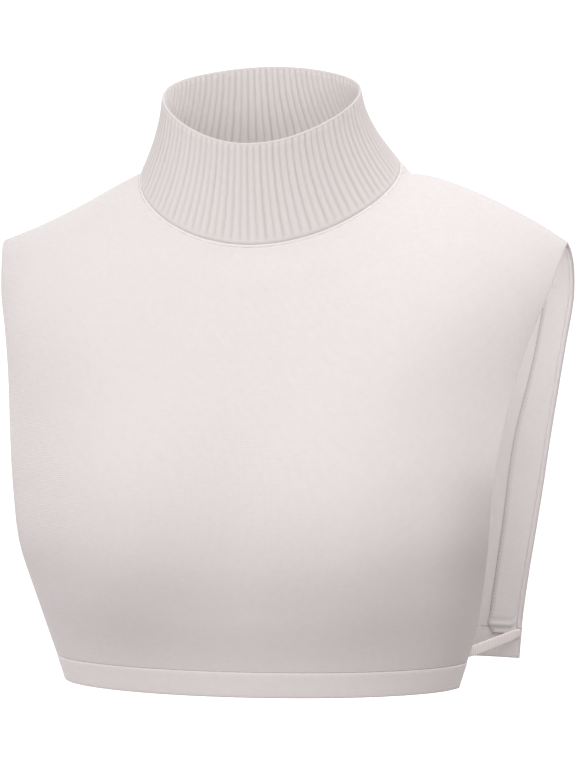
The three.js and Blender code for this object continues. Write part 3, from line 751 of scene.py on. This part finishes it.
roll_turns = np.linspace(0, math.pi, ROLL_ROWS + 2)[1:-1, None]
roll_ways = np.cos(roll_turns)[..., None] * out[-1] + np.sin(roll_turns)[..., None] * rim_up
points = np.concatenate([outer, wall[-1] + rim_half[:, None] * roll_ways, inner[::-1]])
# painted shade: the furrows' colour is drawn darker, on both faces
shade = np.concatenate([outer_furrow, np.zeros((ROLL_ROWS, len(angle))), inner_furrow[::-1]])
heights = np.concatenate([height, top + roll_turns, height[::-1] + math.pi])
heights = np.pad(heights, ((0, 1), (0, 1)), "wrap")
uv = np.stack([np.broadcast_to(np.append(phase, RIB_COUNT), heights.shape), heights / 1000], -1)
collar = cloth_mesh("collar_rib", points, uv, along=True, shade=shade * FURROW_SHADE)
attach(collar, "root")
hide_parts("collar")
print("collar", round(float(top.min())), "to", round(float(top.max())), "mm high")

# %% [markdown]
# ## The neck seam's cord
#
# The linked loops of the seam stand up as one fine cord. It is a tube carried along the seam's
# ring. A small wave in its radius, one for each loop, is all that shows of the linking.

# %% Build the cord
LOOPS, SIDES, STEPS_PER_LOOP = 276, 14, 4
turn = np.arange(LOOPS * STEPS_PER_LOOP) / (LOOPS * STEPS_PER_LOOP) * math.tau
forward = unit(neck_seam(turn + 0.01) - neck_seam(turn - 0.01))
level = square_to(np.array([0, 0, 1]), forward)
outward = np.cross(forward, level)
section = np.arange(SIDES)[:, None] / SIDES * math.tau
radius = CORD_RADIUS * (1 + 0.05 * np.cos(np.arange(len(turn)) / STEPS_PER_LOOP * math.tau))
ring = np.cos(section) * outward[:, None] + np.sin(section) * level[:, None]
points = neck_seam(turn)[:, None] + radius[:, None, None] * ring
lengths = np.linspace(0, 0.46, len(turn) + 1)[:, None]
uv = np.stack(np.broadcast_arrays(lengths, np.linspace(0, 0.007, SIDES + 1)[None, :]), -1)
cord = cloth_mesh("neck_seam_cord", points, uv, along=True)
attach(cord, "root")
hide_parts("neck_seam")

# %% [markdown]
# ## The side straps
#
# Each side is held by a flat knitted elastic, sewn flat inside the front and inside the back and
# pulled tight between. Elastic has ribs straight across it where the rubber gathers the thread.
# The tape is a flat oval carried along a path with two soft bends. It follows the cloth where it
# is sewn, and stands upright where it is free.

# %% Build the straps
def strap_tab(panel, height, inside, side):
    """The tape's middle at the armhole edge and a tab further in, with the ways down and out."""
    ends = []
    for width in (0, STRAP_TAB):
        fall = fall_above(panel, np.array([side * 1.0]), height)
        across = side * (1 - share_across(panel, side * 1.0, fall, width))
        fall = fall_above(panel, across, height)
        out = panel_normal(panel, across, fall)[0]
        down = panel_wall(panel, across, fall + 0.004) - panel_wall(panel, across, fall - 0.004)
        ends.append((panel_wall(panel, across, fall)[0] - out * inside, unit(down[0])))
    return ends


def between(at, keys, rows):
    """Rows of numbers at their keys, read at other places along straight lines between them."""
    return np.stack([np.interp(at, keys, column) for column in np.array(rows).T], -1)


def bend(corners, radius, spacing):
    """Straight runs between corners, with a quadratic curve over radius beside each corner."""
    path = [corners[:1]]
    for before, corner, after in zip(corners[:-2], corners[1:-1], corners[2:]):
        start = corner + unit(before - corner) * radius
        finish = corner + unit(after - corner) * radius
        t = np.linspace(0, 1, 12)[:, None]
        path.append((1 - t) ** 2 * start + 2 * t * (1 - t) * corner + t**2 * finish)
    path = np.concatenate([*path, corners[-1:]])
    length = run_length(path)
    even = np.linspace(0, length[-1], int(length[-1] / spacing))
    return between(even, length, path), even


FREE_WIDTH, BEND_RADIUS, STEP, TURN_LENGTH, TIP_RADIUS = 6.6, 2.5, 0.3, 25, 0.6
ELASTIC_PITCH, ELASTIC_RELIEF, ELASTIC_SHADE = 4.2, 0.28, 0.22
section = np.linspace(0, math.tau, 21)[:-1]
flat_x = np.sign(np.cos(section)) * np.abs(np.cos(section)) ** 0.35
flat_y = np.sign(np.sin(section)) * np.abs(np.sin(section)) ** 0.45
straps = {}
for word, side in (("left", 1), ("right", -1)):
    front_tab = strap_tab(
        FRONT, FRONT["hem"] + STRAP_CLEAR + STRAP_WIDTH / 2,
        PANEL_WALL / 2 + GAP + FACING_WALL + GAP + STRAP_WALL / 2, side,
    )
    back_tab = strap_tab(
        BACK, BACK["hem"] - STRAP_CLEAR - STRAP_WIDTH / 2,
        HEM_WALL / 2 + GAP + STRAP_WALL / 2, side,
    )
    corners, downs = np.array(front_tab[::-1] + back_tab).transpose(1, 0, 2)
    path, length = bend(corners, BEND_RADIUS, STEP)
    places = run_length(corners)
    free = smoothstep(length, places[1], places[1] + TURN_LENGTH)
    free = free * (1 - smoothstep(length, places[2] - TURN_LENGTH, places[2]))
    across_tape = between(length, places * length[-1] / places[-1], downs)
    across_tape = across_tape + (np.array([0, 0, -1]) - across_tape) * free[:, None]
    forward = unit(np.gradient(path, axis=0))
    across_tape = square_to(across_tape, forward)
    through = np.cross(forward, across_tape)
    half_width = (STRAP_WIDTH + (FREE_WIDTH - STRAP_WIDTH) * free) / 2
    crest = np.abs(np.cos(length / ELASTIC_PITCH * math.pi)) ** 0.8
    tip = rounded(np.minimum(length, length[-1] - length), TIP_RADIUS)
    half_wall = (STRAP_WALL / 2 - 0.05) * (1 - ELASTIC_RELIEF * (1 - crest)) * tip
    points = (
        path[:, None]
        + (half_width[:, None] * flat_x)[..., None] * across_tape[:, None]
        + (half_wall[:, None] * flat_y)[..., None] * through[:, None]
    )
    uv = np.stack(np.meshgrid(length, np.append(section, math.tau), indexing="ij"), -1) / 1000
    tips = [[(0, k) for k in range(len(section))][::-1]]
    tips += [[(len(path) - 1, k) for k in range(len(section))]]
    name = "side_strap_" + word
    # painted shade: the hollows between the elastic's ribs are drawn darker
    shade = ELASTIC_SHADE * (1 - crest)[:, None]
    straps[name] = cloth_mesh(name + "_elastic", points, uv, extra=tips, shade=shade)
    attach(straps[name], "root")
    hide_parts(name)
    print(name, round(float(length[-1])), "mm long")

# %% [markdown]
# ## Sizes of the flat cloth
#
# Cloth hardly stretches, so each piece has about the area that it was cut or knitted to.

for label, flat in (("front", (0.43, 0.36)), ("back", (0.42, 0.35))):
    sewn_on = [hems[label + "_hem"]]
    sewn_on += [facings[f"{label}_facing_{word}"] for word in ("left", "right")]

# %% [markdown]
# ## Materials
#
# All the cloth is one off-white yarn, knitted in different ways. One node group draws the loops
# of jersey as a height, from the flat coordinates that each piece carries, and another gives the
# yarn's slight change of tone and darkens it by each piece's painted shade. Each material puts
# them together with its own numbers.

# %% Node helpers
def new_group(name, inputs, outputs):
    """An empty node group with named sockets."""
    group = bpy.data.node_groups.new(name, "ShaderNodeTree")
    for label, kind, value in inputs:
        socket = group.interface.new_socket(label, in_out="INPUT", socket_type=kind)
        if value is not None:
            socket.default_value = value
    for label, kind in outputs:
        group.interface.new_socket(label, in_out="OUTPUT", socket_type=kind)
    return group, group.nodes.new("NodeGroupInput"), group.nodes.new("NodeGroupOutput")


def maths(tree, operation, a, b=None, c=None):
    """A Math node; each value is a socket to link or a number to set."""
    node = tree.nodes.new("ShaderNodeMath")
    node.operation = operation
    for socket, value in zip(node.inputs, (a, b, c)):
        if value is None:
            continue
        if isinstance(value, (int, float)):
            socket.default_value = value
        else:
            tree.links.new(value, socket)
    return node.outputs[0]


def set_sockets(node, **constants):
    """Put constants on a node's sockets, with _ for each space in their names."""
    for label, value in constants.items():
        node.inputs[label.replace("_", " ")].default_value = value
    return node


# %% The loops of plain knit, as a height
knit, knit_in, knit_out = new_group(
    "knit_loops",
    [
        ("Flat", "NodeSocketVector", None),
        ("Wales", "NodeSocketFloat", 770),
        ("Courses", "NodeSocketFloat", 900),
    ],
    [("Height", "NodeSocketFloat")],
)
split = knit.nodes.new("ShaderNodeSeparateXYZ")
knit.links.new(knit_in.outputs["Flat"], split.inputs[0])
wale = maths(knit, "MULTIPLY", split.outputs["X"], knit_in.outputs["Wales"])
course = maths(knit, "MULTIPLY", split.outputs["Y"], knit_in.outputs["Courses"])
# how far from the middle of the wale, 0 to 0.5, which slants the two legs of each loop
leg = maths(knit, "ABSOLUTE", maths(knit, "SUBTRACT", maths(knit, "FRACT", wale), 0.5))
slanted = maths(knit, "MULTIPLY_ADD", leg, 0.9, course)
strand = maths(knit, "COSINE", maths(knit, "MULTIPLY", slanted, math.tau))
strand = maths(knit, "MULTIPLY_ADD", strand, 0.25, 0.5)
# each wale is a rounded column with a furrow to the next
column = maths(knit, "SINE", maths(knit, "MULTIPLY", maths(knit, "FRACT", wale), math.pi))
height = maths(knit, "MULTIPLY", maths(knit, "POWER", column, 0.6), strand)
knit.links.new(height, knit_out.inputs["Height"])
print("knit_loops", len(knit.nodes), "nodes")

# %% The slight change of tone in yarn, and the painted shade
tone, tone_in, tone_out = new_group(
    "yarn_tone_and_painted_shade",
    [
        ("Place", "NodeSocketVector", None),
        ("Flat", "NodeSocketVector", None),
        ("Colour", "NodeSocketColor", (0.8, 0.8, 0.8, 1)),
        ("Shade", "NodeSocketFloat", 0.0),
        ("Amount", "NodeSocketFloat", 0.05),
    ],
    [("Colour", "NodeSocketColor")],
)
# broad and small patches of tone, and streaks along the courses of the knit
streaks = tone.nodes.new("ShaderNodeVectorMath")
streaks.operation = "MULTIPLY"
streaks.inputs[1].default_value = (230, 1300, 1)
tone.links.new(tone_in.outputs["Flat"], streaks.inputs[0])
place, layers = tone_in.outputs["Place"], None
for source, scale, detail in ((place, 14, 3), (place, 260, 3), (streaks.outputs[0], 1, 2)):
    noise = set_sockets(tone.nodes.new("ShaderNodeTexNoise"), Scale=scale, Detail=detail)
    tone.links.new(source, noise.inputs["Vector"])
    patches = noise.outputs["Fac"]
    layers = patches if layers is None else maths(tone, "ADD", layers, patches)
uneven = maths(tone, "SUBTRACT", layers, 1.5)
change = maths(tone, "MULTIPLY_ADD", uneven, tone_in.outputs["Amount"], 1.0)
# painted shade: the colour is multiplied by 1 - Shade
unshaded = maths(tone, "SUBTRACT", 1.0, tone_in.outputs["Shade"])
scaled = tone.nodes.new("ShaderNodeVectorMath")
scaled.operation = "SCALE"
tone.links.new(tone_in.outputs["Colour"], scaled.inputs[0])
tone.links.new(maths(tone, "MULTIPLY", change, unshaded), scaled.inputs["Scale"])
tone.links.new(scaled.outputs[0], tone_out.inputs["Colour"])
print("yarn_tone_and_painted_shade", len(tone.nodes), "nodes")


# %% Put a cloth material together
def cloth_material(name, colour, wales, courses, relief):
    """Principled cloth: toned colour, and knit loops as a bump of relief metres."""
    material = bpy.data.materials.new(name)
    material.use_nodes = True
    tree = material.node_tree
    shader = set_sockets(
        tree.nodes["Principled BSDF"], Roughness=0.9, Specular_IOR_Level=0.25,
        Sheen_Weight=0.12, Sheen_Roughness=0.5,
    )
    place = tree.nodes.new("ShaderNodeTexCoord")
    flat = tree.nodes.new("ShaderNodeUVMap")
    flat.uv_map = "cloth"
    # the painted shade attribute, which darkens the toned colour
    depth = tree.nodes.new("ShaderNodeAttribute")
    depth.attribute_name = "shade"
    toned = tree.nodes.new("ShaderNodeGroup")
    toned.node_tree = tone
    set_sockets(toned, Colour=(*colour, 1))
    loops = tree.nodes.new("ShaderNodeGroup")
    loops.node_tree = knit
    set_sockets(loops, Wales=wales, Courses=courses)
    bump = set_sockets(tree.nodes.new("ShaderNodeBump"), Strength=1, Distance=relief)
    for start, end in (
        (place.outputs["Object"], toned.inputs["Place"]),
        (flat.outputs["UV"], toned.inputs["Flat"]),
        (depth.outputs["Fac"], toned.inputs["Shade"]),
        (toned.outputs["Colour"], shader.inputs["Base Color"]),
        (flat.outputs["UV"], loops.inputs["Flat"]),
        (loops.outputs["Height"], bump.inputs["Height"]),
        (bump.outputs["Normal"], shader.inputs["Normal"]),
    ):
        tree.links.new(start, end)
    return material


JERSEY = (0.868, 0.848, 0.845)
DOUBLED = (0.93, 0.915, 0.905)
RIB = (0.818, 0.794, 0.779)
ELASTIC = (0.97, 0.93, 0.91)
# the back hem is doubled cloth too, but takes the plain jersey's darker colour as painted shade
plain = [*panels.values(), *facings.values(), hems["back_hem"]]
# name, colour, wales and courses to the metre, relief in metres, pieces
for name, colour, wales, courses, relief, pieces in (
    ("fine_jersey", JERSEY, 770, 900, 0.00022, plain),
    ("doubled_jersey", DOUBLED, 770, 900, 0.00022, [hems["front_hem"]]),
    ("rib_knit", RIB, 2, 900, 0.0001, [collar]),
    ("linked_seam", DOUBLED, 600, 900, 0.0002, [cord, *stitches]),
    ("elastic_tape", ELASTIC, 870, 2400, 0.0001, straps.values()),
):
    material = cloth_material(name, colour, wales, courses, relief)
    for piece in pieces:
        piece.data.materials.append(material)
    print(name, len(pieces), "pieces")

# %% [markdown]
# ## Studio
#
# A cove of paper, a floor that curves up into a round wall, looks the same from every side. If
# its glow lit the cloth alike from everywhere, the cloth would lose its shape, so the cove is
# seen by the camera and lights nothing.

# %% Build the cove of paper
COVE_RADIUS, FLOOR, COVE_TOP, SWEEP, COVE_SIDES = 6, -1.6, 2, 0.5, 96
turns = np.linspace(0, math.pi / 2, 24)
sweep = [COVE_RADIUS - SWEEP + SWEEP * np.sin(turns), FLOOR + SWEEP - SWEEP * np.cos(turns)]
profile = np.concatenate([[[0.001, FLOOR]], np.transpose(sweep), [[COVE_RADIUS, COVE_TOP]]])
bearing = np.arange(COVE_SIDES) / COVE_SIDES * math.tau
cove_points = np.stack([
    profile[:, :1] * np.cos(bearing),
    profile[:, :1] * np.sin(bearing),
    profile[:, 1:] + 0 * bearing,
], -1)
row, column = grid_corners(len(profile), COVE_SIDES)
strip = (row * COVE_SIDES + column % COVE_SIDES).tolist()
cove = new_piece("paper_cove", cove_points.reshape(-1, 3), strip)
cove.visible_diffuse = cove.visible_glossy = cove.visible_transmission = cove.visible_shadow = False

# %% Light the wall of the cove, and leave its floor pale
paper = bpy.data.materials.new("white_paper")
paper.use_nodes = True
tree = paper.node_tree
paper_shader = set_sockets(
    tree.nodes["Principled BSDF"], Base_Color=(0.8, 0.8, 0.8, 1), Roughness=0.9,
    Specular_IOR_Level=0, Emission_Color=(1, 1, 1, 1),
)
place = tree.nodes.new("ShaderNodeTexCoord")
height_of = tree.nodes.new("ShaderNodeSeparateXYZ")
glow = tree.nodes.new("ShaderNodeMapRange")
glow.interpolation_type = "SMOOTHSTEP"
set_sockets(glow, From_Min=-1.58, From_Max=-1.25, To_Min=0.6, To_Max=1)
tree.links.new(place.outputs["Object"], height_of.inputs[0])
tree.links.new(height_of.outputs["Z"], glow.inputs["Value"])
tree.links.new(glow.outputs["Result"], paper_shader.inputs["Emission Strength"])
cove.data.materials.append(paper)
print("paper", len(tree.nodes), "nodes")

# %% [markdown]
# The light is a soft panel a metre in front of the chest, near enough that the hem gets less of
# it than the shoulders, a weak one to its right, and a big one behind the wearer's left shoulder.
# A small bulb inside lifts the inner faces, as the white form that wears the cloth does. The rest
# comes from a sky whose strength depends on direction alone: a little warm light, as it comes
# back from skin and floor, plus the sum of w * max(0, d . a) over an axis a for up, the wearer's
# right and the back. Light from above and little from below puts the cloth under the bust in shade.

# %% Place the lights
TARGET = Vector((0, -0.05, -0.13))


def soft_panel(name, azimuth, elevation, power, distance, size):
    """A square area light at these angles from the chest, whose own -Z points back at it."""
    data = bpy.data.lights.new(name, "AREA")
    data.size, data.energy = size, power
    away = direction(azimuth, elevation)
    turned = (-away).to_track_quat("-Z", "Y").to_matrix().to_4x4()
    light = put(name, data)
    light.matrix_world = Matrix.Translation(TARGET + away * distance) @ turned
    light.visible_camera = False


bulb = bpy.data.lights.new("chest_fill", "POINT")
bulb.energy, bulb.shadow_soft_size = 0.12, 0.03
chest_fill = put("chest_fill", bulb)
chest_fill.location = (0.09, 0, -0.055)
chest_fill.visible_camera = False
soft_panel("front_light", 20, 10, 3.6, distance=1, size=0.5)
soft_panel("right_light", -40, 15, 0.45, distance=1, size=0.5)
soft_panel("left_back_light", 122, 42, 14.5, distance=2.3, size=1.2)
print("lights placed")

# %% Shade the sky by direction
world = bpy.data.worlds.new("studio")
world.use_nodes = True
sky = world.node_tree
coordinates = sky.nodes.new("ShaderNodeTexCoord")
axes = sky.nodes.new("ShaderNodeSeparateXYZ")
sky.links.new(coordinates.outputs["Generated"], axes.inputs[0])
strength = 0.0
for axis, sign, weight in (("Z", 1, 0.745), ("X", -1, 0.6), ("Y", 1, 0.35)):
    share = maths(sky, "MAXIMUM", maths(sky, "MULTIPLY", axes.outputs[axis], sign), 0)
    strength = maths(sky, "MULTIPLY_ADD", share, weight, strength)
white = set_sockets(sky.nodes["Background"], Color=(1, 1, 1, 1))
warm = set_sockets(sky.nodes.new("ShaderNodeBackground"), Color=(1, 0.8, 0.8, 1), Strength=0.235)
sky.links.new(strength, white.inputs["Strength"])
both = sky.nodes.new("ShaderNodeAddShader")
sky.links.new(white.outputs[0], both.inputs[0])
sky.links.new(warm.outputs[0], both.inputs[1])
sky.links.new(both.outputs[0], sky.nodes["World Output"].inputs["Surface"])
bpy.context.scene.world = world
bpy.context.scene.view_settings.view_transform = "Standard"
print("sky", len(sky.nodes), "nodes")
